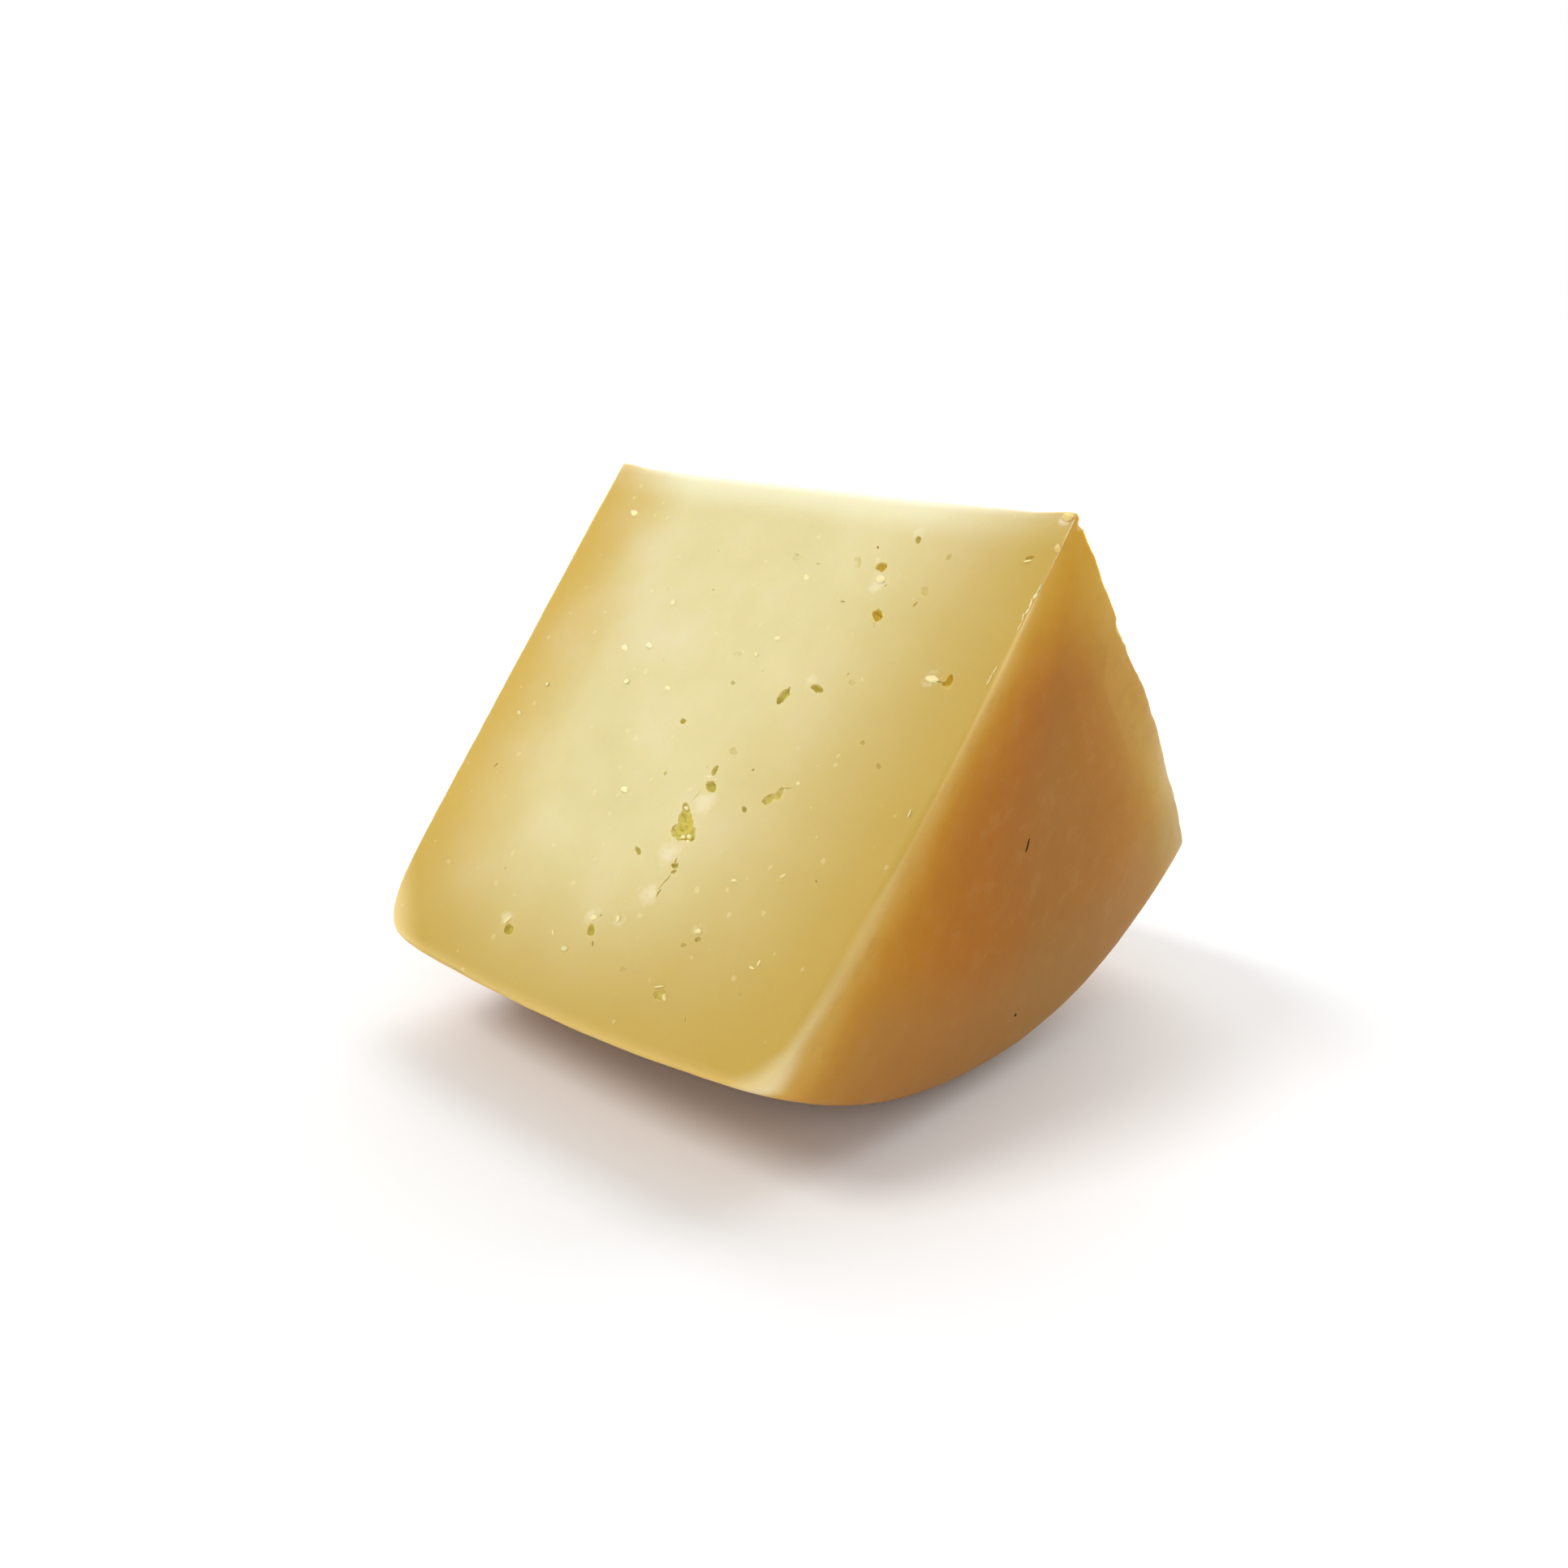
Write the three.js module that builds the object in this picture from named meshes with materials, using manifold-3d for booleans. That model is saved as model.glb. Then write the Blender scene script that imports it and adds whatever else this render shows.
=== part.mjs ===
// A wedge of pecorino toscano, a hard sheep's-milk cheese, in millimetres.
// The wheel's axis lies along X, and the knife has cut two flat faces that meet in a ridge. The wedge stands
// on its rind with the ridge on top. +X is the wheel's domed top face, -X its flat underside, and the front
// cut faces -Y.
import * as THREE from "three";
import { mergeVertices } from "three/addons/utils/BufferGeometryUtils.js";
import Module from "manifold-3d";

const wasm = await Module();
wasm.setup();

// The wheel
const wheelRadius = 92;
const halfHeight = 47; // half of the wheel's height, at its centre
const topDome = 5; // how far the top face falls away between its centre and the rim
const sideBulge = 2.3; // how much the side draws in towards the top face
const bulgePlace = -0.25; // where the side is widest, as a share of the half height
const topShoulder = 27; // the higher, the tighter the turn from the face into the side
const footShoulder = 15;

// The cut
const cutAngle = THREE.MathUtils.degToRad(78);
const axisY = -5; // the knife missed the wheel's axis, which lies here as seen from the ridge
const axisZ = 3;
const edgeRound = 0.8; // how rounded a cut's edges are at the rind, less towards the ridge
const nearRound = 3; // how rounded the edge of the front cut and the top face is, which the light catches

// How it stands
const restFlat = 0.9; // the rind gives this much where it carries the weight
const ridgeHeight = wheelRadius - axisZ - restFlat;
const ridgeY = 1.93; // puts the middle of the wedge's width over the origin

// The grid of the skin: steps along the axis, round the cut angle and down from the ridge
const steps = { along: 22, round: 18, down: 16 };
const gather = 0.42; // draws the grid lines towards the edges, where the shape turns

// Eyes of the paste, the small gas holes that the knife has opened. t runs along the ridge from its middle,
// u down the cut face from the ridge, both to the middle of the eye. long and wide are the opening's sizes,
// turn is its slant in degrees from the ridge's direction.
const frontEyes = [
  { t: 7.6, u: 59.9, long: 4.7, wide: 2.8, turn: 176 },
  { t: 6.6, u: 58.1, long: 4, wide: 2.5, turn: 43 },
  { t: 5.9, u: 56.6, long: 2.9, wide: 1.5, turn: 44 },
  { t: 9.2, u: 60.2, long: 2, wide: 1.5, turn: 12 },
  { t: 8.2, u: 52.1, long: 2.4, wide: 1.6, turn: 21 },
  { t: 7.5, u: 49.6, long: 1.7, wide: 1, turn: 87 },
  { t: 16.2, u: 53.9, long: 1.4, wide: 0.7, turn: 44 },
  { t: 19.5, u: 51.5, long: 2.2, wide: 1.7, turn: 141 },
  { t: 20.8, u: 50.1, long: 2.1, wide: 1.4, turn: 109 },
  { t: 9, u: 65, long: 1.6, wide: 1, turn: 3 },
  { t: 0.8, u: 64.8, long: 1.9, wide: 0.9, turn: 35 },
  { t: 8.7, u: 67.6, long: 3.2, wide: 0.5, turn: 111 },
  { t: 13.1, u: 35.9, long: 2.8, wide: 1.9, turn: 111 },
  { t: 18.4, u: 33.5, long: 2.6, wide: 1.2, turn: 16 },
  { t: 39.5, u: 28, long: 1.9, wide: 1.2, turn: 75 },
  { t: 22.5, u: 20.3, long: 2.4, wide: 1.7, turn: 42 },
  { t: 19, u: 12.6, long: 2.1, wide: 1.6, turn: 21 },
  { t: 23.2, u: 7.4, long: 1.6, wide: 0.9, turn: 43 },
  { t: -16.3, u: 83.1, long: 2.3, wide: 1.7, turn: 19 },
  { t: -0.3, u: 78.2, long: 2.1, wide: 1.3, turn: 53 },
  { t: -3.3, u: 43.6, long: 1.4, wide: 0.9, turn: 8 },
  { t: 17.7, u: 82.6, long: 2.6, wide: 1.6, turn: 171 },
];
const backEyeCount = 18;
const eyeDepth = 0.75; // of an eye's width
const eyeSink = 0.2; // how far under the cut an eye's middle lies, as a share of its depth

// Chips where crumbs broke away along the edges of the back cut. x and u are a chip's middle, u down the cut
// face from the ridge, long and deep its sizes.
const chips = [
  { x: 47.3, u: 2.2, long: 2.2, deep: 0.9 },
  { x: 46.8, u: 24.5, long: 6.8, deep: 0.9 },
  { x: 42.2, u: 82, long: 6, deep: 1.1 },
  { x: -46.8, u: 38, long: 8, deep: 0.9 },
];

// A closed geometry as a solid. Corners in one place are joined, and the triangles that this flattens go.
function solidFrom(geometry) {
  geometry.deleteAttribute("normal");
  geometry.deleteAttribute("uv");
  const joined = mergeVertices(geometry, 1e-4);
  const corners = joined.index.array;
  const kept = [];
  for (let i = 0; i < corners.length; i += 3) {
    const [p, q, r] = corners.slice(i, i + 3);
    if (p !== q && q !== r && r !== p) kept.push(p, q, r);
  }
  return new wasm.Manifold(
    new wasm.Mesh({
      numProp: 3,
      vertProperties: joined.attributes.position.array,
      triVerts: Uint32Array.from(kept),
    }),
  );
}

// How far a line from the ridge runs before it meets the wheel's side, whose radius is given.
function reachFromRidge(turn, radius) {
  const toAxis = axisY * Math.sin(turn) - axisZ * Math.cos(turn);
  return toAxis + Math.sqrt(toAxis ** 2 + radius ** 2 - axisY ** 2 - axisZ ** 2);
}

// A point of the wedge's skin from a point of a box: a runs along the axis from -1 to 1, b from the front cut
// at -1 to the back cut at 1, and c from the ridge at 0 to the rind at 1.
function skinPoint(a, b, c) {
  const shoulder = a < 0 ? footShoulder : topShoulder;
  const level = Math.max(Math.abs(a), c);
  const profile = (Math.abs(a) ** shoulder + c ** shoulder) ** (1 / shoulder) || 1;
  const sideShare = (c / profile) ** shoulder || 0;
  const size = halfHeight + (wheelRadius - halfHeight) * sideShare;
  const round = edgeRound + (a > 0 && b < 0 ? (nearRound - edgeRound) * (1 - sideShare) : 0);
  const tightness = (2.36 * size) / (round * c);
  const edge = c > 0 ? (level ** tightness + Math.abs(b) ** tightness) ** (1 / tightness) : 1;
  const rounded = level / profile / edge;
  const along = a * rounded;
  const down = c * rounded;

  const turn = (b / edge) * (cutAngle / 2);
  const sideRadius = wheelRadius - sideBulge * (along - bulgePlace) ** 2;
  const reach = down * reachFromRidge(turn, sideRadius);
  const y = reach * Math.sin(turn);
  const z = -reach * Math.cos(turn);
  const fromAxis = ((y - axisY) ** 2 + (z - axisZ) ** 2) / wheelRadius ** 2;
  const fall = a < 0 ? 0 : topDome * fromAxis;
  return new THREE.Vector3(along * (halfHeight - fall), y, z);
}

function wedgeSolid() {
  const spread = (s) => s * (1 + gather) - gather * s ** 3;
  const box = new THREE.BoxGeometry(2, 2, 2, steps.along, steps.round, steps.down);
  const corners = box.attributes.position;
  for (let i = 0; i < corners.count; i++) {
    const c = (1 - spread(corners.getZ(i))) / 2;
    const point = skinPoint(spread(corners.getX(i)), spread(corners.getY(i)), c);
    corners.setXYZ(i, point.x, point.y, point.z);
  }
  return solidFrom(box);
}

// The axes of a cut face: along the ridge, down the face and out of it. The front's side is -1, the back's 1.
function cutFace(side) {
  const half = (side * cutAngle) / 2;
  return {
    along: new THREE.Vector3(1, 0, 0),
    down: new THREE.Vector3(0, Math.sin(half), -Math.cos(half)),
    out: new THREE.Vector3(0, side * Math.cos(half), side * Math.sin(half)),
  };
}

function eyeSolid(side, eye) {
  const face = cutFace(side);
  const depth = eye.wide * eyeDepth;
  const ball = new THREE.SphereGeometry(1, 10, 6);
  ball.scale(eye.long / 2, eye.wide / 2, depth);
  ball.rotateZ(THREE.MathUtils.degToRad(eye.turn));
  const frame = new THREE.Matrix4().makeBasis(face.along, face.down, face.out);
  if (frame.determinant() < 0) frame.makeBasis(face.along.negate(), face.down, face.out);
  ball.applyMatrix4(frame);
  const place = new THREE.Vector3()
    .addScaledVector(new THREE.Vector3(1, 0, 0), eye.t)
    .addScaledVector(face.down, eye.u)
    .addScaledVector(face.out, -depth * eyeSink);
  ball.translate(place.x, place.y, place.z);
  return solidFrom(ball);
}

// The back cut's eyes are spread by an even rule.
function backEyes() {
  const share = (i, step) => (i * step) % 1;
  return Array.from({ length: backEyeCount }, (_, i) => {
    const size = 1.2 + 2.4 * share(i, 0.381966) ** 2;
    return {
      t: -34 + 68 * share(i + 1, 0.7548777),
      u: 12 + 66 * share(i + 1, 0.5698403),
      long: size * (1.1 + 0.5 * share(i, 0.27)),
      wide: size,
      turn: 180 * share(i, 0.618034),
    };
  });
}

function chipSolid(chip) {
  const face = cutFace(1);
  const lump = new THREE.IcosahedronGeometry(1, 1);
  lump.scale(chip.deep, chip.deep, chip.long / 2);
  lump.rotateX(cutAngle / 2);
  const place = face.down.clone().multiplyScalar(chip.u);
  lump.translate(chip.x, place.y, place.z);
  return solidFrom(lump);
}

function floorSolid() {
  const slab = new THREE.BoxGeometry(4 * wheelRadius, 4 * wheelRadius, wheelRadius);
  slab.translate(0, 0, -ridgeHeight - wheelRadius / 2);
  return solidFrom(slab);
}

const cutters = [
  ...frontEyes.map((eye) => eyeSolid(-1, eye)),
  ...backEyes().map((eye) => eyeSolid(1, eye)),
  ...chips.map(chipSolid),
  floorSolid(),
];
const cheese = cutters.reduce((solid, cutter) => solid.subtract(cutter), wedgeSolid());

function geometryOf(solid) {
  const { vertProperties, triVerts } = solid.getMesh();
  const geometry = new THREE.BufferGeometry();
  geometry.setAttribute("position", new THREE.BufferAttribute(vertProperties, 3));
  geometry.setIndex(new THREE.BufferAttribute(triVerts, 1));
  geometry.computeVertexNormals();
  return geometry;
}

const paste = new THREE.MeshStandardMaterial({ color: 0xe3cf92, roughness: 0.5, metalness: 0 });
const wedge = new THREE.Mesh(geometryOf(cheese), paste);
wedge.name = "cheese_wedge";
wedge.position.set(0, ridgeY, ridgeHeight);

const cheeseWedge = new THREE.Group();
cheeseWedge.add(wedge);

export default cheeseWedge;
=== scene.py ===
# A wedge of pecorino toscano on a white floor, in metres and in the frame of the solid model. The wheel's
# axis lies along X and the two cuts meet in the ridge on top. The front cut faces -Y, the wheel's domed top
# face +X.
import math
import random

import bpy
from mathutils import Matrix, Vector


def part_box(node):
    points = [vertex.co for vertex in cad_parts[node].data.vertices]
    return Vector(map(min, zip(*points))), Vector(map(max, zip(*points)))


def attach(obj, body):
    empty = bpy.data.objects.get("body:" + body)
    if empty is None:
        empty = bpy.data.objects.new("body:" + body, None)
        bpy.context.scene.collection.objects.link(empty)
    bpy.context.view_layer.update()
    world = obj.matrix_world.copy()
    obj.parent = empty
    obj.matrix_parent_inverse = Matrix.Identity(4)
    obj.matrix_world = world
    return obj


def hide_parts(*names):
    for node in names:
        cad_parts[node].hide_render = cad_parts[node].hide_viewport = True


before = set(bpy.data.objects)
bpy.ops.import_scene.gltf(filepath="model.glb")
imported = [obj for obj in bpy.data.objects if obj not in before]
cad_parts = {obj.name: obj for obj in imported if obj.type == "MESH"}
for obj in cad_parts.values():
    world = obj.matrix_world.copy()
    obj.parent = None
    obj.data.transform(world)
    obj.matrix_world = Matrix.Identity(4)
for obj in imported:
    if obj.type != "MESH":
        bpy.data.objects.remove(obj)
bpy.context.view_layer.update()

mm = 0.001


# Node trees, written as expressions

def linear(colour):
    # A colour as light, from its three screen values of 0 to 255.
    shares = [value / 255 for value in colour]
    return (*[s / 12.92 if s <= 0.04045 else ((s + 0.055) / 1.055) ** 2.4 for s in shares], 1.0)


class Wire:
    # A value on its way through a node tree. Sums, products and comparisons of wires add maths nodes.
    def __init__(self, socket):
        self.socket = socket
        self.tree = socket.id_data

    def __add__(self, other):
        return maths("ADD", self, other)

    def __radd__(self, other):
        return maths("ADD", other, self)

    def __sub__(self, other):
        return maths("SUBTRACT", self, other)

    def __rsub__(self, other):
        return maths("SUBTRACT", other, self)

    def __mul__(self, other):
        return maths("MULTIPLY", self, other)

    def __rmul__(self, other):
        return maths("MULTIPLY", other, self)

    def __truediv__(self, other):
        return maths("DIVIDE", self, other)

    def __rtruediv__(self, other):
        return maths("DIVIDE", other, self)

    def __pow__(self, other):
        return maths("POWER", self, other)

    def __neg__(self):
        return maths("MULTIPLY", self, -1.0)


def addNode(tree, kind, settings=None, values=None):
    node = tree.nodes.new(kind)
    for name, value in (settings or {}).items():
        if name == "stops":
            setStops(node.color_ramp, value)
        else:
            setattr(node, name, value)
    for name, value in (values or {}).items():
        if isinstance(value, Wire):
            tree.links.new(value.socket, node.inputs[name])
        else:
            node.inputs[name].default_value = value
    return node


def setStops(colours, stops):
    # The stops of a colour ramp, from a dictionary of places from 0 to 1 and their colours.
    colours.interpolation = "B_SPLINE"
    colours.elements.remove(colours.elements[1])
    first, *others = stops.items()
    colours.elements[0].position = first[0]
    colours.elements[0].color = linear(first[1])
    for place, colour in others:
        colours.elements.new(place).color = linear(colour)


def output(tree, kind, settings=None, values=None, socket=0):
    return Wire(addNode(tree, kind, settings, values).outputs[socket])


def treeOf(values):
    return next(value.tree for value in values if isinstance(value, Wire))


def maths(operation, *values):
    return output(treeOf(values), "ShaderNodeMath", {"operation": operation}, dict(enumerate(values)))


def smaller(*values):
    first, *others = values
    for other in others:
        first = maths("MINIMUM", first, other)
    return first


def larger(*values):
    first, *others = values
    for other in others:
        first = maths("MAXIMUM", first, other)
    return first


def limited(value):
    return smaller(larger(value, 0.0), 1.0)


def ramp(value, low, high, start=0.0, end=1.0):
    # start where the value is at low, end where it is at high, and a smooth rise between them.
    values = {"Value": value, "From Min": low, "From Max": high, "To Min": start, "To Max": end}
    return output(value.tree, "ShaderNodeMapRange", {"interpolation_type": "SMOOTHSTEP"}, values)


def vector(operation, *values, socket=0):
    settings = {"operation": operation}
    return output(treeOf(values), "ShaderNodeVectorMath", settings, dict(enumerate(values)), socket)


def scaled(wire, amount):
    values = {"Vector": wire, "Scale": amount}
    return output(wire.tree, "ShaderNodeVectorMath", {"operation": "SCALE"}, values)


def apart(wire):
    node = addNode(wire.tree, "ShaderNodeSeparateXYZ", None, {0: wire})
    return [Wire(socket) for socket in node.outputs]


def together(x, y, z):
    return output(treeOf((x, y, z)), "ShaderNodeCombineXYZ", None, {0: x, 1: y, 2: z})


def noise(place, size, detail=2.0, roughness=0.5, shift=0.0, distortion=0.0):
    # Noise from -1 to 1 whose lumps are about size metres apart.
    start = vector("ADD", place, (shift, shift * 1.7, -shift)) if shift else place
    values = {
        "Vector": start,
        "Scale": 1 / size,
        "Detail": detail,
        "Roughness": roughness,
        "Distortion": distortion,
    }
    return output(place.tree, "ShaderNodeTexNoise", None, values) * 2 - 1


def noiseColour(place, size):
    # Three noises from 0 to 1, whose lumps are about size metres apart.
    return output(place.tree, "ShaderNodeTexNoise", None, {"Vector": place, "Scale": 1 / size}, "Color")


def mixed(first, second, share):
    # first where share is 0 and second where it is 1.
    values = {0: share}
    for index, value in {6: first, 7: second}.items():
        values[index] = value if isinstance(value, Wire) else linear(value)
    return output(share.tree, "ShaderNodeMix", {"data_type": "RGBA"}, values, 2)


def graded(distance, reach, stops):
    # The colour for a distance, from a dictionary of distances and colours. The last distance is reach.
    shares = {place / reach: colour for place, colour in stops.items()}
    return output(distance.tree, "ShaderNodeValToRGB", {"stops": shares}, {0: distance / reach})


# The wheel and the cuts

wheel = {
    "radius": 92 * mm,
    "halfHeight": 47 * mm,  # at the wheel's centre
    "topDome": 5 * mm,  # how far the top face falls away between its centre and the rim
    "sideBulge": 2.3 * mm,  # how much the side draws in towards the top face
    "bulgePlace": -0.25,  # where the side is widest, as a share of the half height
    "topShoulder": 27.0,  # the higher, the tighter the turn from the face into the side
    "footShoulder": 15.0,
}
cut = {
    "angle": math.radians(78),
    "axisY": -5 * mm,  # the knife missed the wheel's axis, which lies here as seen from the ridge
    "axisZ": 3 * mm,
    "nearRound": 3 * mm,  # how rounded the edge of the front cut and the top face is
    "edgeRound": 0.8 * mm,  # how rounded the other edges of the cuts are at the rind
    "ridgeY": 1.93 * mm,
}
ridge = Vector((0, cut["ridgeY"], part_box("cheese_wedge")[1][2]))


def skinPoint(a, b, c):
    # A point of the wedge's skin from a point of a box: a runs along the axis from -1 to 1, b from the front
    # cut at -1 to the back cut at 1, and c from the ridge at 0 to the rind at 1. With it comes how far the
    # point belongs to a cut, from 0 on the rind to 1 on the cut.
    absA = maths("ABSOLUTE", a)
    absB = maths("ABSOLUTE", b)
    isTop = maths("GREATER_THAN", a, 0.0)
    shoulder = isTop * (wheel["topShoulder"] - wheel["footShoulder"]) + wheel["footShoulder"]
    level = larger(absA, c)
    profile = (absA**shoulder + c**shoulder) ** (1 / shoulder)
    sideShare = (c / profile) ** shoulder
    size = wheel["halfHeight"] + (wheel["radius"] - wheel["halfHeight"]) * sideShare
    isNear = isTop * maths("LESS_THAN", b, 0.0)
    edgeRound = cut["edgeRound"] + (cut["nearRound"] - cut["edgeRound"]) * isNear * (1 - sideShare)
    likeCircle = 2.36  # about ln 2 / (1 - 1 / sqrt 2), which gives a corner the roundness of its radius
    tightness = likeCircle * size / (edgeRound * larger(c, 0.001))
    cutPart = absB**tightness
    edgeSum = level**tightness + cutPart
    edge = edgeSum ** (1 / tightness)
    rounded = level / profile / edge
    along = a * rounded
    down = c * rounded

    turn = b / edge * (cut["angle"] / 2)
    sine = maths("SINE", turn)
    cosine = maths("COSINE", turn)
    offBulge = along - wheel["bulgePlace"]
    sideRadius = wheel["radius"] - wheel["sideBulge"] * offBulge * offBulge
    toAxis = cut["axisY"] * sine - cut["axisZ"] * cosine
    offset = cut["axisY"] ** 2 + cut["axisZ"] ** 2
    reach = down * (toAxis + maths("SQRT", toAxis * toAxis + sideRadius * sideRadius - offset))
    y = reach * sine
    z = -reach * cosine
    fromAxis = ((y - cut["axisY"]) ** 2 + (z - cut["axisZ"]) ** 2) / wheel["radius"] ** 2
    fall = isTop * wheel["topDome"] * fromAxis
    point = together(along * (wheel["halfHeight"] - fall), y + ridge.y, z + ridge.z)
    return point, cutPart / edgeSum


def depths(place):
    # How deep a point lies under the top face, the underside and the side of the wheel.
    x, y, z = apart(place)
    offY = y - (ridge.y + cut["axisY"])
    offZ = z - (ridge.z + cut["axisZ"])
    fromAxis = offY * offY + offZ * offZ
    offBulge = x / wheel["halfHeight"] - wheel["bulgePlace"]
    underTop = wheel["halfHeight"] - wheel["topDome"] / wheel["radius"] ** 2 * fromAxis - x
    underFoot = wheel["halfHeight"] + x
    underSide = wheel["radius"] - wheel["sideBulge"] * offBulge * offBulge - maths("SQRT", fromAxis)
    return underTop, underFoot, underSide


def belowRidge(place):
    return ridge.z - apart(place)[2]


def behindCut(place, side):
    # How far a point lies behind the front cut, where side is -1, or the back cut, where it is 1.
    _, y, z = apart(place)
    half = cut["angle"] / 2
    return -((y - ridge.y) * (side * math.cos(half)) + (z - ridge.z) * math.sin(half))


def cutFrame(side):
    # The directions of a cut face: along the ridge, down the face and out of it, as columns.
    half = side * cut["angle"] / 2
    down = Vector((0, math.sin(half), -math.cos(half)))
    out = Vector((0, side * math.cos(half), side * math.sin(half)))
    return Matrix((Vector((1, 0, 0)), down, out)).transposed()


# The cheese

cheese = {
    "stepsAlong": 112,  # lines of the skin's grid
    "stepsRound": 92,
    "stepsDown": 108,
    "gather": 0.40,  # draws the grid lines towards the edges, where the shape turns
    "ridgeRound": 0.9 * mm,
    "pasteWaves": 0.13 * mm,  # heights of the knife's waves and of the grain
    "pasteGrain": 0.03 * mm,
    "rindWaves": 0.24 * mm,
    "rindGrain": 0.05 * mm,
    "edgeCrumble": 0.16 * mm,
    "farCrumble": 0.4 * mm,  # of the edge between the back cut and the top face
    "farSwell": 0.5 * mm,
    "ragged": 0.5,  # as a share of an eye's smaller half size
    "bend": 0.6 * mm,  # how far an eye strays from an even shape
    "pores": 1800.0,  # for each square metre of the cuts
    "poreSize": 0.24 * mm,
    "seed": 7,
}

# Eyes that the front cut has opened, in millimetres. t runs along the ridge from the middle of the wedge, u
# down the cut from the ridge. long, wide and deep are the hole's half sizes, turn its slant from the ridge in
# degrees.
bellEye = [
    {"t": 7.4, "u": 59.9, "long": 2.5, "wide": 1.45, "deep": 0.8, "turn": 176},
    {"t": 7.1, "u": 59.0, "long": 1.6, "wide": 1.5, "deep": 0.9, "turn": 20},
    {"t": 6.7, "u": 58.1, "long": 2.0, "wide": 1.25, "deep": 0.85, "turn": 43},
    {"t": 5.9, "u": 56.6, "long": 1.45, "wide": 0.8, "deep": 0.65, "turn": 44},
    {"t": 9.1, "u": 60.2, "long": 1.0, "wide": 0.8, "deep": 0.8, "turn": 12},
]
cracks = [
    {"t": 6.5, "u": 54.0, "long": 1.5, "wide": 0.13, "deep": 0.25, "turn": 108},
    {"t": 8.7, "u": 64.2, "long": 0.4, "wide": 0.16, "deep": 0.4, "turn": 93},
    {"t": 8.7, "u": 67.6, "long": 1.6, "wide": 0.15, "deep": 0.35, "turn": 111},
    {"t": 8.6, "u": 69.5, "long": 0.7, "wide": 0.28, "deep": 0.4, "turn": 94},
    {"t": 21.9, "u": 49.1, "long": 0.7, "wide": 0.2, "deep": 0.3, "turn": 158},
    {"t": 38.0, "u": 28.5, "long": 1.1, "wide": 0.13, "deep": 0.3, "turn": 178},
    {"t": 28.0, "u": 17.6, "long": 0.45, "wide": 0.28, "deep": 0.4, "turn": 124},
    {"t": 21.4, "u": 15.5, "long": 0.4, "wide": 0.15, "deep": 0.4, "turn": 139},
    {"t": 1.3, "u": 79.9, "long": 0.5, "wide": 0.14, "deep": 0.4, "turn": 52},
    {"t": 23.8, "u": 84.3, "long": 0.45, "wide": 0.18, "deep": 0.3, "turn": 66},
]
frontEyes = [
    {"t": 0.8, "u": 64.8, "long": 0.95, "wide": 0.45, "deep": 0.62, "turn": 35},
    {"t": 8.2, "u": 52.1, "long": 1.2, "wide": 0.8, "deep": 0.9, "turn": 21},
    {"t": 7.5, "u": 49.6, "long": 0.85, "wide": 0.5, "deep": 0.72, "turn": 87},
    {"t": 16.2, "u": 53.9, "long": 0.7, "wide": 0.35, "deep": 0.54, "turn": 44},
    {"t": 19.5, "u": 51.5, "long": 1.1, "wide": 0.85, "deep": 0.62, "turn": 141},
    {"t": 20.8, "u": 50.1, "long": 1.05, "wide": 0.7, "deep": 0.59, "turn": 109},
    {"t": 9.0, "u": 65.0, "long": 0.8, "wide": 0.5, "deep": 0.62, "turn": 3},
    {"t": 9.4, "u": 65.9, "long": 0.55, "wide": 0.35, "deep": 0.46, "turn": 158},
    {"t": 13.1, "u": 35.9, "long": 1.4, "wide": 0.95, "deep": 0.75, "turn": 111},
    {"t": 18.4, "u": 33.5, "long": 1.3, "wide": 0.6, "deep": 0.9, "turn": 16},
    {"t": 39.5, "u": 28.0, "long": 0.95, "wide": 0.6, "deep": 0.82, "turn": 75},
    {"t": 39.2, "u": 28.7, "long": 0.7, "wide": 0.4, "deep": 0.54, "turn": 14},
    {"t": 22.5, "u": 20.3, "long": 1.2, "wide": 0.85, "deep": 1.1, "turn": 42},
    {"t": 19.0, "u": 12.6, "long": 1.05, "wide": 0.8, "deep": 1, "turn": 21},
    {"t": 23.2, "u": 7.4, "long": 0.8, "wide": 0.45, "deep": 0.62, "turn": 43},
    {"t": -16.3, "u": 83.1, "long": 1.15, "wide": 0.85, "deep": 0.9, "turn": 19},
    {"t": -0.3, "u": 78.2, "long": 1.05, "wide": 0.65, "deep": 0.72, "turn": 53},
    {"t": -3.3, "u": 43.6, "long": 0.7, "wide": 0.45, "deep": 0.54, "turn": 8},
    {"t": 2.6, "u": 35.6, "long": 0.5, "wide": 0.33, "deep": 0.36, "turn": 8},
    {"t": 19.4, "u": 73.6, "long": 0.6, "wide": 0.4, "deep": 0.41, "turn": 172},
    {"t": 17.5, "u": 75.1, "long": 0.55, "wide": 0.38, "deep": 0.36, "turn": 163},
    {"t": 16.6, "u": 9.5, "long": 0.32, "wide": 0.2, "deep": 0.46, "turn": 46},
    {"t": 14.2, "u": 47.9, "long": 0.24, "wide": 0.2, "deep": 0.36, "turn": 17},
    {"t": 42.8, "u": 7.8, "long": 0.7, "wide": 0.35, "deep": 0.46, "turn": 163},
]
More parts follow.
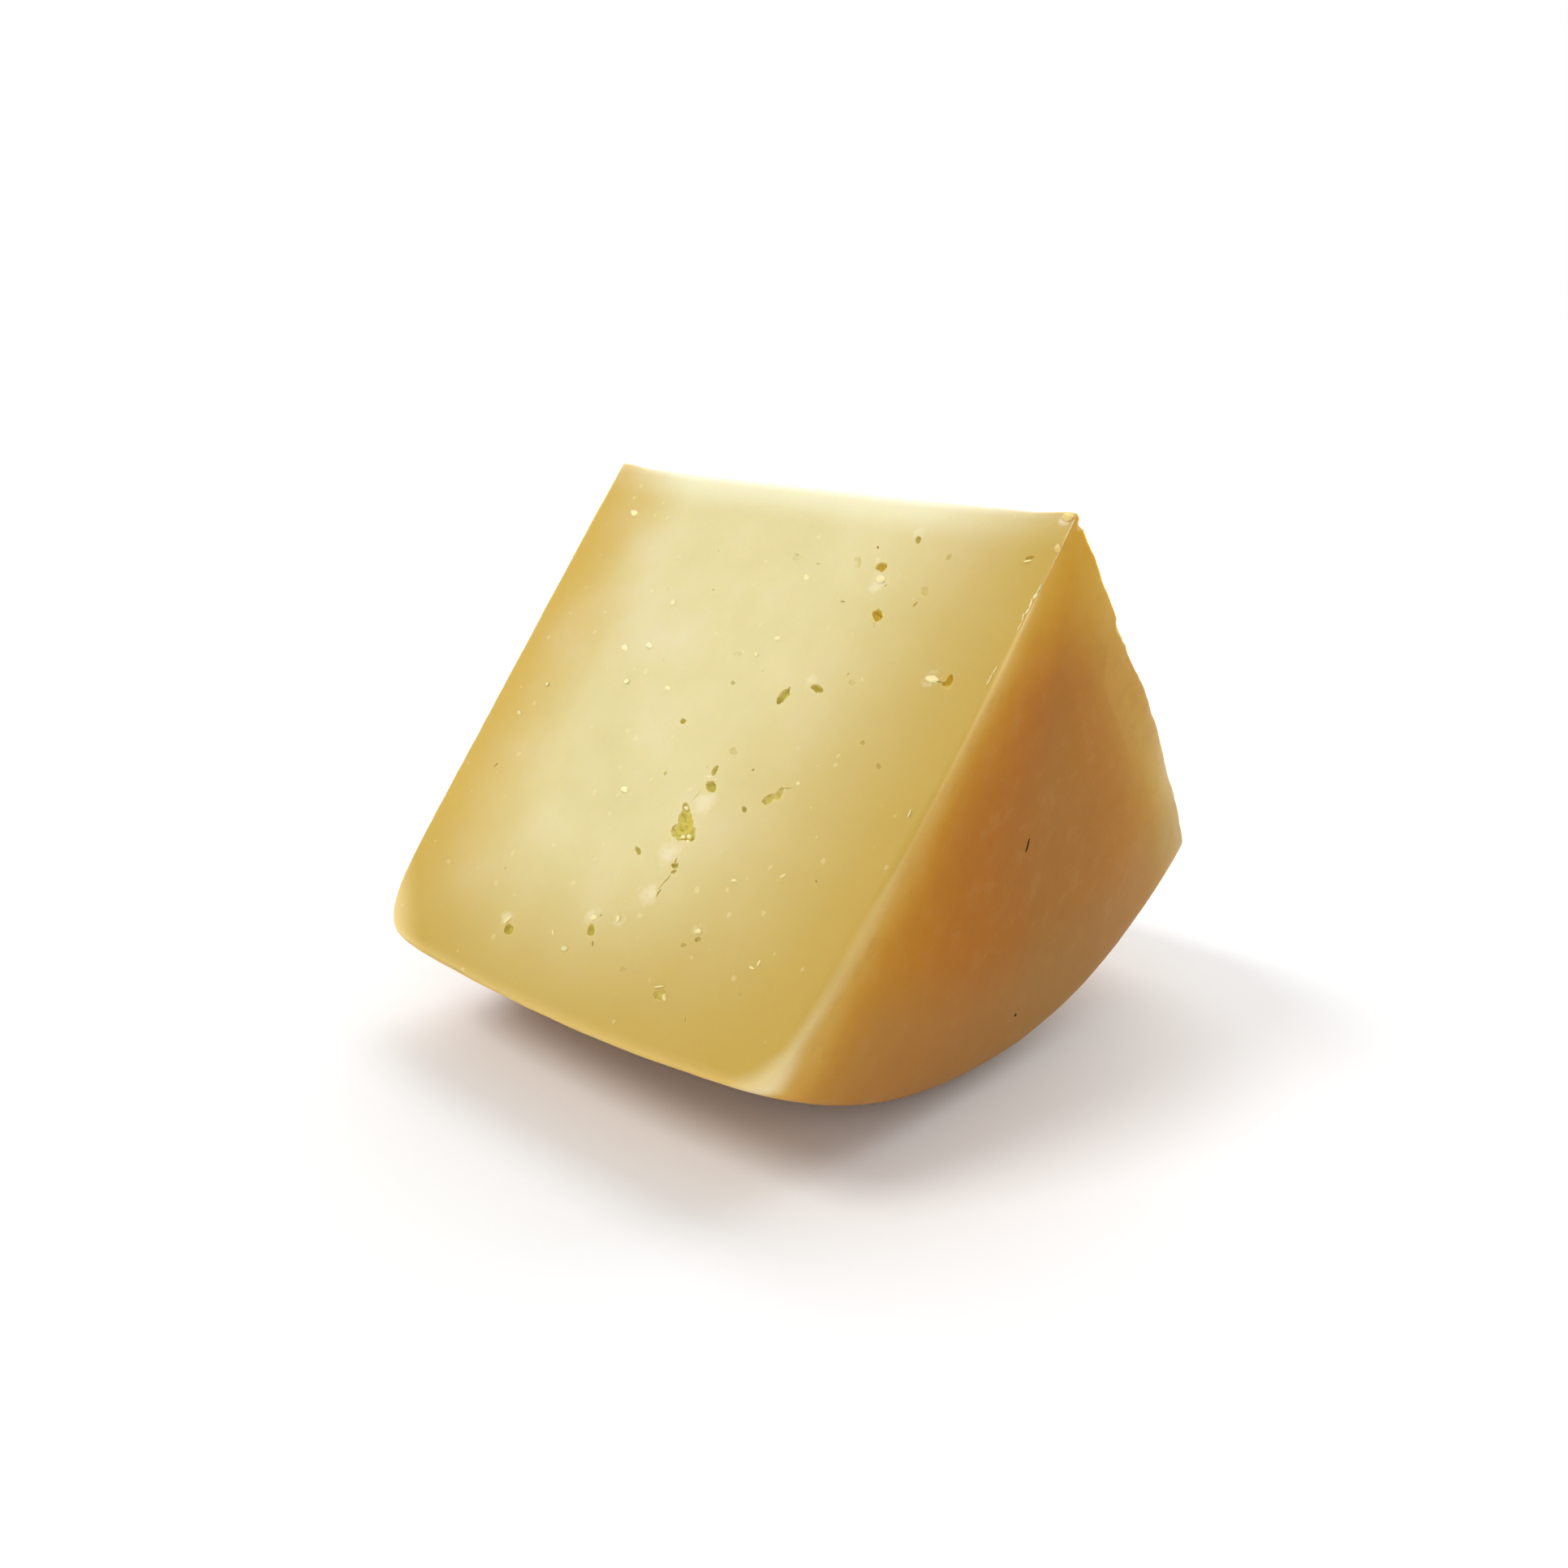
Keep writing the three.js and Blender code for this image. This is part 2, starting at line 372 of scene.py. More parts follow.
# Eyes that the cut has only just touched, so that they show as faint dimples.
dimples = [
    {"t": 9.0, "u": 46.1, "long": 0.85, "wide": 0.7, "deep": 0.28, "turn": 11},
    {"t": 14.3, "u": 12.4, "long": 1.3, "wide": 0.6, "deep": 0.25, "turn": 55},
    {"t": 2.4, "u": 13.2, "long": 0.75, "wide": 0.6, "deep": 0.22, "turn": 20},
    {"t": 7.2, "u": 13.7, "long": 0.47, "wide": 0.2, "deep": 0.2, "turn": 178},
    {"t": 29.8, "u": 9.5, "long": 0.6, "wide": 0.45, "deep": 0.25, "turn": 95},
    {"t": 28.6, "u": 15.4, "long": 0.95, "wide": 0.55, "deep": 0.2, "turn": 34},
    {"t": 22.8, "u": 21.9, "long": 0.55, "wide": 0.3, "deep": 0.25, "turn": 64},
    {"t": 23.8, "u": 31.4, "long": 0.75, "wide": 0.5, "deep": 0.22, "turn": 7},
    {"t": 0.8, "u": 31.0, "long": 0.9, "wide": 0.6, "deep": 0.22, "turn": 21},
    {"t": 30.5, "u": 39.8, "long": 0.5, "wide": 0.35, "deep": 0.25, "turn": 36},
    {"t": 34.9, "u": 42.6, "long": 0.65, "wide": 0.5, "deep": 0.25, "turn": 42},
    {"t": -1.4, "u": 52.2, "long": 0.55, "wide": 0.45, "deep": 0.2, "turn": 33},
    {"t": 17.7, "u": 82.6, "long": 1.3, "wide": 0.8, "deep": 0.35, "turn": 171},
    {"t": 30.2, "u": 78.2, "long": 0.75, "wide": 0.6, "deep": 0.25, "turn": 165},
    {"t": 9.2, "u": 81.7, "long": 0.65, "wide": 0.45, "deep": 0.2, "turn": 4},
]
# Eyes of the back cut, which the photograph doesn't show.
backEyes = {
    "count": 26,
    "halfWidth": 47.0,
    "reach": 88.0,
    "margin": 9.0,
    "spacing": 5.0,
    "smallest": 0.4,
    "largest": 1.6,
}

# Crumbs of paste that the knife has torn up. under is how far a crumb's middle lies under the face, and pale
# is the share of the specks' colour.
crumbs = [
    {"t": 8.6, "u": 60.2, "long": 0.45, "wide": 0.32, "deep": 0.4, "under": 0.6, "pale": 0.8},
    {"t": 9.0, "u": 61.0, "long": 0.38, "wide": 0.28, "deep": 0.4, "under": 0.45, "pale": 0.8},
    {"t": 7.5, "u": 60.6, "long": 0.42, "wide": 0.3, "deep": 0.4, "under": 0.6},
    {"t": 5.4, "u": 56.2, "long": 0.55, "wide": 0.4, "deep": 0.45, "under": 0.6},
    {"t": 7.0, "u": 50.8, "long": 0.32, "wide": 0.2, "deep": 0.15, "turn": 179},
    {"t": 8.8, "u": 51.0, "long": 0.31, "wide": 0.2, "deep": 0.15, "turn": 179},
    {"t": 20.0, "u": 14.7, "long": 1.0, "wide": 0.6, "deep": 0.22, "turn": 20},
    {"t": 36.7, "u": 28.3, "long": 1.1, "wide": 0.5, "deep": 0.25, "turn": 0, "pale": 0.7},
    {"t": -7.6, "u": 56.6, "long": 0.8, "wide": 0.5, "deep": 0.3, "turn": 0, "pale": 1.0},
    {"t": -18.1, "u": 32.8, "long": 0.8, "wide": 0.5, "deep": 0.2, "turn": 8, "pale": 0.9},
    {"t": -23.1, "u": 34.1, "long": 0.9, "wide": 0.6, "deep": 0.2, "turn": 18, "pale": 0.8},
    {"t": -9.5, "u": 39.1, "long": 0.8, "wide": 0.4, "deep": 0.2, "turn": 7, "pale": 0.8},
    {"t": -18.9, "u": 39.6, "long": 0.6, "wide": 0.45, "deep": 0.17, "turn": 5, "pale": 0.7},
    {"t": -36.2, "u": 43.6, "long": 0.4, "wide": 0.27, "deep": 0.15, "turn": 14},
    {"t": -39.1, "u": 49.7, "long": 0.5, "wide": 0.3, "deep": 0.15, "turn": 35},
    {"t": -17.9, "u": 24.7, "long": 0.7, "wide": 0.45, "deep": 0.16, "turn": 42, "pale": 0.6},
    {"t": -37.6, "u": 9.5, "long": 0.95, "wide": 0.55, "deep": 0.3, "turn": 19, "pale": 0.9},
    {"t": 6.3, "u": 16.3, "long": 0.6, "wide": 0.45, "deep": 0.14, "turn": 26},
    {"t": 6.7, "u": 27.1, "long": 0.6, "wide": 0.32, "deep": 0.18, "turn": 164},
    {"t": 4.3, "u": 30.3, "long": 0.5, "wide": 0.3, "deep": 0.15, "turn": 43},
    {"t": 1.6, "u": 30.4, "long": 0.4, "wide": 0.15, "deep": 0.15, "turn": 30},
    {"t": 23.3, "u": 48.0, "long": 0.36, "wide": 0.24, "deep": 0.18, "turn": 2},
    {"t": -17.4, "u": 81.9, "long": 1.0, "wide": 0.3, "deep": 0.25, "turn": 117},
    {"t": -0.9, "u": 76.4, "long": 0.7, "wide": 0.45, "deep": 0.22, "turn": 158},
    {"t": 3.8, "u": 75.2, "long": 0.54, "wide": 0.35, "deep": 0.2, "turn": 70},
    {"t": -7.0, "u": 80.8, "long": 0.5, "wide": 0.2, "deep": 0.2, "turn": 34},
    {"t": -3.3, "u": 82.2, "long": 0.65, "wide": 0.4, "deep": 0.15, "turn": 156},
    {"t": 18.8, "u": 72.6, "long": 0.65, "wide": 0.4, "deep": 0.18, "turn": 175},
    {"t": 18.7, "u": 82.7, "long": 0.5, "wide": 0.27, "deep": 0.4, "turn": 50},
    {"t": 16.9, "u": 81.8, "long": 0.8, "wide": 0.13, "deep": 0.15, "turn": 160},
    {"t": 30.3, "u": 74.4, "long": 0.42, "wide": 0.16, "deep": 0.15, "turn": 6},
    {"t": 31.0, "u": 73.6, "long": 0.44, "wide": 0.2, "deep": 0.15, "turn": 81},
    {"t": 20.6, "u": 64.2, "long": 0.45, "wide": 0.3, "deep": 0.15, "turn": 156},
    {"t": 28.1, "u": 61.2, "long": 0.5, "wide": 0.25, "deep": 0.14, "turn": 131},
    {"t": 43.0, "u": 47.7, "long": 0.78, "wide": 0.13, "deep": 0.14, "turn": 83},
    {"t": 42.8, "u": 8.4, "long": 0.6, "wide": 0.2, "deep": 0.18, "turn": 163},
]
# Thin burrs that the knife has left along the edge between the front cut and the top face, their paleness a
# painted glint of light along that edge, and the nub of paste at the end of the ridge.
burrsAndGlints = [
    {"t": 46.4, "u": 5.9, "long": 0.8, "wide": 0.42, "deep": 0.3, "turn": 75, "pale": 0.25},
    {"t": 46.5, "u": 12.2, "long": 0.8, "wide": 0.06, "deep": 0.16, "turn": 86, "pale": 0.6},
    {"t": 46.5, "u": 13.5, "long": 0.6, "wide": 0.08, "deep": 0.2, "turn": 96, "pale": 0.8},
    {"t": 46.3, "u": 14.6, "long": 0.7, "wide": 0.1, "deep": 0.2, "turn": 88, "pale": 0.8},
    {"t": 46.35, "u": 15.9, "long": 0.6, "wide": 0.07, "deep": 0.18, "turn": 95, "pale": 0.8},
    {"t": 46.2, "u": 17.0, "long": 0.7, "wide": 0.09, "deep": 0.18, "turn": 86, "pale": 0.7},
    {"t": 46.2, "u": 18.4, "long": 0.7, "wide": 0.06, "deep": 0.15, "turn": 92, "pale": 0.5},
    {"t": 45.6, "u": 25.2, "long": 0.8, "wide": 0.07, "deep": 0.16, "turn": 90, "pale": 0.5},
    {"t": 45.5, "u": 26.8, "long": 0.9, "wide": 0.07, "deep": 0.16, "turn": 94, "pale": 0.5},
    {"t": 45.8, "u": 0.9, "long": 1.0, "wide": 0.75, "deep": 0.5, "pale": 0.3},
]
# Soft pale patches of smeared paste beside the eyes, with painted glow and glint of light at the eyes' rims.
# size is a patch's radius.
smearAndGlowPatches = [
    {"t": 19.7, "u": 15.4, "size": 2.6},
    {"t": 22.7, "u": 6.0, "size": 1.6},
    {"t": 36.5, "u": 28.3, "size": 2.2},
    {"t": 16.8, "u": 32.5, "size": 2.0},
    {"t": 8.6, "u": 54.6, "size": 3.4},
    {"t": 6.8, "u": 63.4, "size": 3.2},
    {"t": 45.6, "u": 1.2, "size": 1.8},
    {"t": 7.2, "u": 70.0, "size": 3.0},
    {"t": -1.0, "u": 76.0, "size": 2.2},
    {"t": -17.6, "u": 81.6, "size": 2.0},
    {"t": 3.9, "u": 75.2, "size": 1.6},
    {"t": 18.8, "u": 72.4, "size": 1.6},
    {"t": -7.6, "u": 56.6, "size": 1.6},
    {"t": 7.0, "u": 50.8, "size": 1.6},
]
# Where the edge of the back cut has crumbled away, measured along the back cut.
chips = [
    {"t": 47.3, "u": 2.2, "long": 0.9, "wide": 1.1, "deep": 0.9},
    {"t": 46.8, "u": 24.5, "long": 0.9, "wide": 3.4, "deep": 0.9},
    {"t": 42.2, "u": 82.0, "long": 1.1, "wide": 3.0, "deep": 1.1},
    {"t": -46.8, "u": 38.0, "long": 0.9, "wide": 4.0, "deep": 0.9},
]
# Nicks in the rind of the top face. t runs across the wedge, u down from the ridge. under is the dome's fall.
nicks = [
    {"t": -4.9, "u": 47.6, "long": 1.2, "wide": 0.25, "deep": 0.6, "turn": 110, "under": 1.75},
    {"t": -1.6, "u": 76.9, "long": 0.36, "wide": 0.28, "deep": 0.5, "under": 4.0},
]


def scattered(settings, seed):
    # Eyes at random places of a cut, apart from each other.
    chance = random.Random(seed)
    farT = settings["halfWidth"] - settings["margin"]
    farU = settings["reach"] - settings["margin"]
    eyes = []
    while len(eyes) < settings["count"]:
        t = chance.uniform(-farT, farT)
        u = chance.uniform(settings["margin"], farU)
        if any(math.hypot(t - eye["t"], u - eye["u"]) < settings["spacing"] for eye in eyes):
            continue
        size = settings["smallest"] + (settings["largest"] - settings["smallest"]) * chance.random() ** 3
        eye = {"t": t, "u": u, "long": size * chance.uniform(1.0, 1.5), "wide": size * 0.75}
        eye["deep"] = size * chance.uniform(0.6, 1.0)
        eye["turn"] = chance.uniform(0, 180)
        eyes.append(eye)
    return eyes


def placesObject(name, *groups):
    # Points on the wedge's faces, one for each lump, with its half sizes, its turn in space and its paleness.
    # A group is a list of lumps, the directions of their face and the place that t and u are measured from.
    points = []
    sizes = []
    turns = []
    pales = []
    for lumps, basis, start in groups:
        for lump in lumps:
            size = Vector([lump.get(side, lump.get("size")) for side in ("long", "wide", "deep")])
            under = lump.get("under", 0.15 * size.z)
            points.append(basis @ Vector((lump["t"], lump["u"], -under)) * mm + start)
            sizes.append(size * mm)
            turned = basis @ Matrix.Rotation(math.radians(lump.get("turn", 0)), 3, "Z")
            if turned.determinant() < 0:
                turned = turned @ Matrix.Diagonal((1, -1, 1))
            turns.append(Vector(turned.to_euler()))
            pales.append(lump.get("pale", 0.5))
    mesh = bpy.data.meshes.new(name)
    mesh.from_pydata(points, [], [])
    for layerName, values in {"size": sizes, "turn": turns}.items():
        layer = mesh.attributes.new(layerName, "FLOAT_VECTOR", "POINT")
        for item, value in zip(layer.data, values):
            item.vector = value
    layer = mesh.attributes.new("pale", "FLOAT", "POINT")
    for item, value in zip(layer.data, pales):
        item.value = value
    holder = bpy.data.objects.new(name, mesh)
    bpy.context.scene.collection.objects.link(holder)
    return holder


def namedInputs(tree, values):
    # One input of the tree for each value, by its name. Gives the wires and the sockets' identifiers.
    kinds = {int: "NodeSocketInt", float: "NodeSocketFloat", bpy.types.Material: "NodeSocketMaterial"}
    kinds[bpy.types.Object] = "NodeSocketObject"
    identifiers = {}
    for name, value in values.items():
        socket = tree.interface.new_socket(name, in_out="INPUT", socket_type=kinds[type(value)])
        identifiers[name] = socket.identifier
    source = tree.nodes.new("NodeGroupInput")
    return {name: Wire(source.outputs[name]) for name in values}, identifiers


def attribute(tree, name, kind="FLOAT"):
    return output(tree, "GeometryNodeInputNamedAttribute", {"data_type": kind}, {"Name": name})


def stored(geometry, domain, values, kind="FLOAT"):
    # The geometry with a named attribute for each value.
    for name, value in values.items():
        settings = {"data_type": kind, "domain": domain}
        inputs = {"Geometry": geometry, "Name": name, "Value": value}
        geometry = output(geometry.tree, "GeometryNodeStoreNamedAttribute", settings, inputs)
    return geometry


def moved(geometry, **values):
    return output(geometry.tree, "GeometryNodeSetPosition", None, {"Geometry": geometry, **values})


def skin(tree, given):
    # The closed skin of the wedge before the eyes: a box's grid, bent by the wheel's and the cuts' rule. The
    # box's top, which shrinks to the ridge, is taken off. The attribute cut is 1 on the paste that the knife
    # has bared and 0 on the rind.
    box = addNode(tree, "GeometryNodeMeshCube", None, {"Size": (2, 2, 2)})
    for name, steps in {"X": "stepsAlong", "Y": "stepsRound", "Z": "stepsDown"}.items():
        tree.links.new(given[steps].socket, box.inputs["Vertices " + name])
    a, b, c = apart(output(tree, "GeometryNodeInputPosition"))
    values = {"Geometry": Wire(box.outputs["Mesh"]), "Selection": maths("GREATER_THAN", c, 0.99999)}
    opened = output(tree, "GeometryNodeDeleteGeometry", {"domain": "FACE"}, values)
    gather = given["gather"]
    spread = [s * (1 + gather) - gather * s * s * s for s in (a, b, c)]
    point, cutShare = skinPoint(spread[0], spread[1], (1 - spread[2]) / 2)
    bent = moved(stored(opened, "POINT", {"cut": cutShare}), Position=point)
    bent = output(tree, "GeometryNodeMergeByDistance", None, {"Geometry": bent, "Distance": 0.01 * mm})
    return moved(bent, Position=roundedRidge(output(tree, "GeometryNodeInputPosition"), given["ridgeRound"]))


def roundedRidge(place, middleRadius):
    # Places above the lines where a round ridge touches the cuts are drawn onto the round, less at its ends.
    half = cut["angle"] / 2
    x, y, z = apart(place)
    fromEnd = wheel["halfHeight"] - maths("ABSOLUTE", x)
    radius = middleRadius * ramp(fromEnd, 0.5 * mm, 8 * mm, 0.1, 1.0)
    offY = y - ridge.y
    offZ = z - (ridge.z - radius / math.sin(half))
    reach = maths("SQRT", offY * offY + offZ * offZ)
    above = maths("GREATER_THAN", offZ, radius * math.sin(half))
    share = 1 + (radius / larger(reach, radius) - 1) * above
    return together(x, ridge.y + offY * share, z - offZ + offZ * share)


def relief(tree, geometry, given):
    # Knife waves and grain on the cuts, lumps on the rind, crumbled edges and the flat that it stands on.
    place = output(tree, "GeometryNodeInputPosition")
    normal = output(tree, "GeometryNodeInputNormal")
    cutShare = attribute(tree, "cut")
    underTop = depths(place)[0]
    sink = 0.55  # of the waves' height, so that they stay inside the solid
    paste = noise(place, 17 * mm) * given["pasteWaves"] + noise(place, 2.4 * mm) * given["pasteGrain"]
    paste = paste - (given["pasteWaves"] + given["pasteGrain"]) * sink
    rind = noise(place, 15 * mm, shift=0.3) * given["rindWaves"] + noise(place, 3 * mm) * given["rindGrain"]
    rind = rind - (given["rindWaves"] + given["rindGrain"]) * sink
    edge = cutShare * (1 - cutShare) * 4  # 1 on the edges between a cut and the rind
    x = apart(place)[0]
    below = belowRidge(place)
    uneven = ramp(below, 8 * mm, 45 * mm) + ramp(x, 0.0, -30 * mm)  # more so downwards and towards the foot
    crumble = (noise(place, 3.2 * mm, detail=3.0) + 1) * given["edgeCrumble"] * uneven
    # 1 along the edge between the back cut and the top face
    far = ramp(larger(behindCut(place, 1), underTop), 4 * mm, 0.5 * mm) * ramp(x, 30 * mm, 36 * mm)
    swell = ramp(below, 23 * mm, 31 * mm) * ramp(below, 48 * mm, 36 * mm) * given["farSwell"]
    farLift = noise(place, 6 * mm, shift=0.11) * given["farCrumble"] + swell
    lift = rind + (paste - rind) * cutShare - edge * crumble * (1 - far) + far * farLift
    geometry = moved(geometry, Offset=scaled(normal, lift))
    x, y, z = apart(output(tree, "GeometryNodeInputPosition"))
    return moved(geometry, Position=together(x, y, larger(z, 0.0)))


def balls(points, rotation, given, fineness):
    # Ragged balls on points that carry their half sizes, each ball a solid of its own.
    tree = points.tree
    ball = output(tree, "GeometryNodeMeshIcoSphere", None, {"Radius": 1.0, "Subdivisions": fineness})
    size = attribute(tree, "size", "FLOAT_VECTOR")
    values = {"Points": points, "Instance": ball, "Rotation": rotation, "Scale": size}
    placed = output(tree, "GeometryNodeInstanceOnPoints", None, values)
    real = output(tree, "GeometryNodeRealizeInstances", None, {"Geometry": placed})
    place = output(tree, "GeometryNodeInputPosition")
    normal = output(tree, "GeometryNodeInputNormal")
    push = noise(place, 0.8 * mm) * given["ragged"] * smaller(*apart(size)[:2])
    bend = scaled(vector("SUBTRACT", noiseColour(place, 1.6 * mm), (0.5, 0.5, 0.5)), given["bend"])
    real = moved(real, Offset=vector("ADD", scaled(normal, push), bend))
    values = {"Geometry": real, "Group ID": output(tree, "GeometryNodeInputMeshIsland")}
    return output(tree, "GeometryNodeSplitToInstances", {"domain": "FACE"}, values)


def joined(operation, first, *others):
    # A boolean of solids: first with the others added or cut out.
    node = addNode(first.tree, "GeometryNodeMeshBoolean", {"operation": operation, "solver": "MANIFOLD"})
    if operation == "DIFFERENCE":
        first.tree.links.new(first.socket, node.inputs["Mesh 1"])
    else:
        others = (first, *others)
    for other in others:
        first.tree.links.new(other.socket, node.inputs["Mesh 2"])
    return Wire(node.outputs["Mesh"])


def sprinkled(geometry, given, firstSeed):
    # Small ragged pores at random over both cuts, thinner near the rind.
    tree = geometry.tree
    place = output(tree, "GeometryNodeInputPosition")
    onCut = smaller(behindCut(place, -1), behindCut(place, 1))
    chosen = maths("LESS_THAN", onCut, 0.4 * mm) * maths("GREATER_THAN", smaller(*depths(place)), 6 * mm)
    chosen = chosen * maths("LESS_THAN", apart(place)[2], ridge.z - 5 * mm)
    values = {"Mesh": geometry, "Selection": chosen, "Distance Min": 1.6 * mm}
    values |= {"Density Max": given["pores"], "Seed": given["seed"] + firstSeed}
    settings = {"distribute_method": "POISSON"}
    node = addNode(tree, "GeometryNodeDistributePointsOnFaces", settings, values)
    seeds = iter(range(firstSeed + 1, firstSeed + 9))

    def chance(low, high):
        values = {2: low, 3: high, "Seed": next(seeds)}
        return output(tree, "FunctionNodeRandomValue", {"data_type": "FLOAT"}, values, 1)

    share = chance(0.0, 1.0)
    size = given["poreSize"] * (0.6 + share * share * share)
    scale = together(size * chance(0.9, 1.8), size * chance(0.6, 1.0), size)
    points = stored(Wire(node.outputs["Points"]), "POINT", {"size": scale}, "FLOAT_VECTOR")
    values = {"Axis": (0, 0, 1), "Angle": chance(0.0, 6.28)}
    spin = output(tree, "FunctionNodeAxisAngleToRotation", None, values)
    values = {"Rotation": Wire(node.outputs["Rotation"]), "Rotate By": spin}
    rotation = output(tree, "FunctionNodeRotateRotation", {"rotation_space": "LOCAL"}, values)
    return balls(points, rotation, given, 2)


def smearAndGlowShare(tree, places):
    # 1 in the middle of the nearest pale patch, smeared paste with painted glow, and 0 from its rim outwards.
    place = output(tree, "GeometryNodeInputPosition")
    nearest = output(tree, "GeometryNodeSampleNearest", None, {"Geometry": places, "Sample Position": place})
    settings = {"data_type": "FLOAT_VECTOR"}
    values = {"Geometry": places, "Index": nearest, "Value": place}
    middle = output(tree, "GeometryNodeSampleIndex", settings, values)
    values["Value"] = attribute(tree, "size", "FLOAT_VECTOR")
    radius = apart(output(tree, "GeometryNodeSampleIndex", settings, values))[0]
    distance = vector("DISTANCE", place, middle, socket=1)
    return ramp(distance / radius, 1.0, 0.2)


def cheeseTree(values):
    tree = bpy.data.node_groups.new("cheese wedge", "GeometryNodeTree")
    tree.interface.new_socket("Geometry", in_out="OUTPUT", socket_type="NodeSocketGeometry")
    tree.interface.new_socket("Geometry", in_out="INPUT", socket_type="NodeSocketGeometry")
    given, identifiers = namedInputs(tree, values)

    def places(name):
        settings = {"transform_space": "ORIGINAL"}
        return output(tree, "GeometryNodeObjectInfo", settings, {"Object": given[name]}, "Geometry")

    def lumps(name, fineness):
        turn = attribute(tree, "turn", "FLOAT_VECTOR")
        turn = output(tree, "FunctionNodeEulerToRotation", None, {"Euler": turn})
        return balls(places(name), turn, given, fineness)

    def marked(solids, eye, speck, cutShare):
        return stored(solids, "FACE", {"eye": eye, "speck": speck, "cut": cutShare, "smear": 0.0})

    body = relief(tree, skin(tree, given), given)
    body = stored(body, "FACE", {"eye": 0.0, "speck": 0.0, "cut": attribute(tree, "cut")})
    body = stored(body, "FACE", {"smear": smearAndGlowShare(tree, places("smearPlaces"))})
    opened = joined("DIFFERENCE", body, marked(lumps("chipPlaces", 3), 0.0, 0.0, 1.0))
    opened = joined("DIFFERENCE", opened, marked(lumps("eyePlaces", 3), 1.0, 0.0, 1.0))
    opened = joined("DIFFERENCE", opened, marked(sprinkled(body, given, 10), 1.0, 0.0, 1.0))
    opened = joined("DIFFERENCE", opened, marked(lumps("nickPlaces", 2), 1.0, 0.0, 0.0))
    crumbled = joined("UNION", opened, marked(lumps("crumbPlaces", 2), 0.0, attribute(tree, "pale"), 1.0))
    crumbled = stored(crumbled, "POINT", {name: attribute(tree, name) for name in ("cut", "smear")})
    for name in ("size", "turn", "pale"):
        crumbled = output(tree, "GeometryNodeRemoveAttribute", None, {"Geometry": crumbled, "Name": name})

    angle = output(tree, "GeometryNodeInputMeshEdgeAngle")
    values = {"Geometry": crumbled, "Shade Smooth": True}
    smooth = output(tree, "GeometryNodeSetShadeSmooth", {"domain": "FACE"}, values)
    values = {"Geometry": smooth, "Selection": maths("GREATER_THAN", angle, 0.6), "Shade Smooth": False}
    smooth = output(tree, "GeometryNodeSetShadeSmooth", {"domain": "EDGE"}, values)
    real = output(tree, "GeometryNodeRealizeInstances", None, {"Geometry": smooth})
    done = output(tree, "GeometryNodeSetMaterial", None, {"Geometry": real, "Material": given["material"]})
    end = tree.nodes.new("NodeGroupOutput")
    tree.links.new(done.socket, end.inputs[0])
    return tree, identifiers


def grown(name, makeTree, values):
    # The plain piece that a tree makes from its named inputs. The modifier and the tree are gone afterwards.
    tree, identifiers = makeTree(values)
    holder = bpy.data.objects.new(name + "_holder", bpy.data.meshes.new(name + "_holder"))
    bpy.context.scene.collection.objects.link(holder)
    modifier = holder.modifiers.new(name, "NODES")
    modifier.node_group = tree
    for inputName, value in values.items():
        modifier[identifiers[inputName]] = value
    bpy.context.view_layer.update()
    seen = holder.evaluated_get(bpy.context.evaluated_depsgraph_get())
    mesh = bpy.data.meshes.new_from_object(seen)
    bpy.data.objects.remove(holder)
    bpy.data.node_groups.remove(tree)
    mesh.name = name
    piece = bpy.data.objects.new(name, mesh)
    bpy.context.scene.collection.objects.link(piece)
    return piece


# What the cheese looks like

look = {
    "paste": (224, 212, 159),
    "cream": (228, 217, 177),  # paler and greener clouds in the paste
    "olive": (214, 202, 144),
    "amber": (206, 170, 71),  # dried paste near the underside, darkened further as painted shade lower down the cut
    "ochre": (196, 166, 79),  # dried paste near the top face and the side, darkened further as painted shade lower down
    "topDryingAndShade": 34 * mm,  # how far in the paste has dried from each face of the wheel; painted shade widens the bands downwards
    "footDryingAndShade": 22 * mm,
    "sideDryingAndShade": 30 * mm,
    "ridge": (240, 236, 200),  # painted glow beside the ridge, and painted highlight on the ridge itself
    "crestHighlight": (252, 249, 230),
    "rim": (222, 196, 124),  # painted highlights: a pale line along the paste's edge at the side of the wheel, and its pale corner at the underside
    "corner": (240, 217, 154),
    "edge": (214, 188, 121),  # the line along the front cut's edge, paste with a painted highlight, and its lower end, a wider painted highlight
    "edgeFootHighlight": (230, 214, 166),
    "eye": (209, 193, 85),
    "goldenEye": (225, 189, 58),
    # pale patches: smeared paste with painted glow and glint beside the eyes
    "smear": (236, 225, 187),
    "speck": (252, 238, 186),
    "speckSpacing": 2.6 * mm,
    "speckSize": 0.48 * mm,
    "rindGlowNearFront": {  # painted glow of light through the edge, golden by the cut, by the distance from the cut in millimetres
        0.3: (210, 176, 99),
        2: (202, 159, 73),
        4: (193, 141, 43),
        6: (184, 126, 24),
        11: (173, 109, 13),
        18: (163, 99, 21),
        30: (152, 103, 34),
    },
    # painted glow of light from behind along the back cut's edge, paler by the cut
    "rindGlowNearBack": {
        0.3: (210, 185, 137),
        2.5: (197, 162, 86),
        6: (182, 138, 54),
        8: (176, 127, 40),
        12: (169, 111, 29),
        18: (161, 104, 26),
        30: (153, 103, 32),
    },
    "rindTop": (199, 151, 33),
    "rindFacetHighlight": (186, 138, 54),
    # painted brightening of the rind near the side, against the shade that falls there
    "rindLowBrightening": (160, 125, 77),
    "rindPale": (204, 160, 104),
    "rindDark": (130, 82, 26),
    # painted shade inside the nicks in the rind
    "rindNickShade": (68, 41, 14),
    "roughness": 0.44,
    "shine": 0.12,
    "glow": 1.2 * mm,  # how far light travels under the surface, most of all red
    "glowColour": (1.0, 0.75, 0.4),
}


